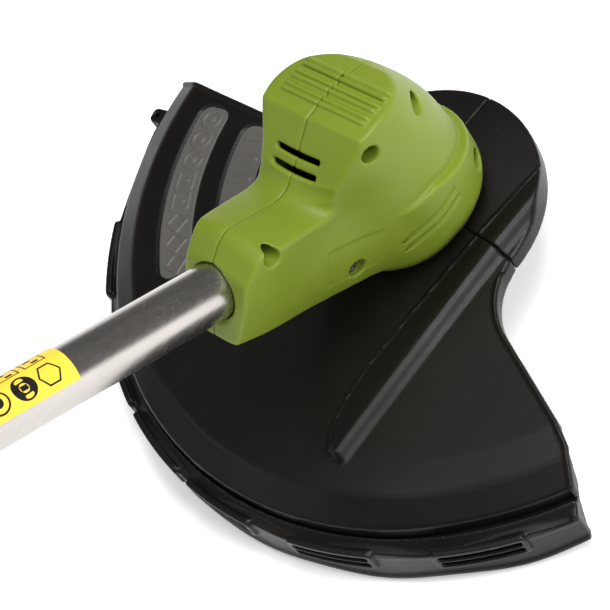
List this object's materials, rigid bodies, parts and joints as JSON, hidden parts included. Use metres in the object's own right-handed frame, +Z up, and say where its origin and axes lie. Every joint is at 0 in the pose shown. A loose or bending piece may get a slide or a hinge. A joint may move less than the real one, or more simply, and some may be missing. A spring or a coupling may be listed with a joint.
{
  "type": "string trimmer",
  "caption": "Cordless string trimmer: fan-shaped black guard, green split motor housing, straight bright tube, clamped loop handle, trigger grip and slide-on battery",
  "frame": {"origin": "middle of the rear grip, on the tube axis", "axes": "+X horizontally forward from the rear grip to the cutting head, the long way of the tool; +Y to the left, the narrowest extent; +Z up along the spool axis, with the tube climbing 29.5 degrees towards -X"},
  "size_m": [1.3836, 0.3417, 0.8019],
  "materials": {
    "green_plastic": "moulded, satin",
    "black_plastic": "moulded, fine texture",
    "grey_plastic": "moulded, satin",
    "tube_steel": "drawn, bright",
    "steel": "zinc plated",
    "dark_steel": "blackened",
    "label": "printed film, no text",
    "nylon_line": "translucent nylon",
    "copper_parts": "copper and bronze",
    "grip_rubber": "soft moulded",
    "cell_wrap": "shrink wrap"
  },
  "bodies": {
    "frame": {"tube": "tube_steel", "tube_label": "label", "aux_clamp": "black_plastic", "aux_bolt": "steel", "handle_left": "green_plastic", "handle_right": "green_plastic", "handle_screw_1": "dark_steel", "handle_screw_2": "dark_steel", "handle_screw_3": "dark_steel", "handle_screw_4": "dark_steel", "grip_sleeve": "grip_rubber", "trigger_spring": "steel", "switch_body": "grey_plastic", "lock_spring": "steel", "terminal_block": "grey_plastic", "guard_body": "black_plastic", "guard_front_cover": "black_plastic", "guard_screw_1": "steel", "guard_screw_2": "steel", "guard_screw_3": "steel", "guard_screw_4": "steel", "guard_skirt": "black_plastic", "cutter_blade": "steel", "cutter_screw_1": "steel", "cutter_screw_2": "steel", "housing_left": "green_plastic", "housing_right": "green_plastic", "housing_screw_1": "dark_steel", "housing_screw_2": "dark_steel", "housing_screw_3": "dark_steel", "housing_screw_4": "dark_steel", "housing_screw_5": "dark_steel", "motor_can": "steel", "motor_end_cap": "black_plastic", "motor_magnet_left": "grey_plastic", "motor_magnet_right": "grey_plastic", "bearing_outer_race": "steel", "motor_bushing": "copper_parts", "power_cable": "black_plastic"},
    "rotor": {"motor_shaft": "steel", "motor_armature": "copper_parts", "bearing_inner_race": "steel", "spool_housing": "black_plastic", "spool_cover": "black_plastic", "line_eyelet": "steel", "cutting_line": "nylon_line", "arbor_nut": "steel", "bump_spring": "steel"},
    "bump_spool": {"bump_knob": "black_plastic", "line_spool": "grey_plastic", "wound_line": "nylon_line"},
    "aux_handle": {"aux_loop": "black_plastic"},
    "aux_clamp_knob": {"aux_knob": "grey_plastic"},
    "trigger_lever": {"trigger": "black_plastic"},
    "lock_off": {"lock_button": "black_plastic"},
    "battery_pack": {"battery_case_upper": "black_plastic", "battery_case_lower": "grey_plastic", "battery_cells": "cell_wrap", "latch_spring": "steel"},
    "pack_latch": {"battery_latch": "green_plastic"}
  },
  "joints": [
    {"name": "spool_spin", "type": "hinge", "parent": "frame", "child": "rotor", "pos_m": [1.10201, 0, -0.63535], "axis": [0, 0, 1], "continuous": true},
    {"name": "bump_feed", "type": "slide", "parent": "rotor", "child": "bump_spool", "axis": [0, 0, 1], "range_m": [0, 0.0034], "stiffness_N_per_m": 900, "springref_m": -0.004, "deforming": ["bump_spring"]},
    {"name": "aux_tilt", "type": "hinge", "parent": "frame", "child": "aux_handle", "pos_m": [0.3323, 0, -0.15393], "axis": [0, 1, 0], "range_deg": [-30, 30]},
    {"name": "aux_knob_turn", "type": "hinge", "parent": "frame", "child": "aux_clamp_knob", "pos_m": [0.3323, 0, -0.15393], "axis": [0, 1, 0], "range_deg": [0, 360]},
    {"name": "trigger_pull", "type": "hinge", "parent": "frame", "child": "trigger_lever", "pos_m": [0.09582, 0, -0.07387], "axis": [0, 1, 0], "range_deg": [0, 7], "stiffness_Nm_per_rad": 1.5, "springref_deg": -8.59, "deforming": ["trigger_spring"]},
    {"name": "lock_off_press", "type": "slide", "parent": "frame", "child": "lock_off", "axis": [-0.4924, 0, -0.8704], "range_m": [0, 0.003], "stiffness_N_per_m": 500, "springref_m": -0.003, "deforming": ["lock_spring"]},
    {"name": "battery_slide", "type": "slide", "parent": "frame", "child": "battery_pack", "axis": [-0.8704, 0, 0.4924], "range_m": [0, 0.1]},
    {"name": "latch_press", "type": "slide", "parent": "battery_pack", "child": "pack_latch", "axis": [-0.4924, 0, -0.8704], "range_m": [0, 0.004], "stiffness_N_per_m": 500, "springref_m": -0.003, "deforming": ["latch_spring"]}
  ]
}
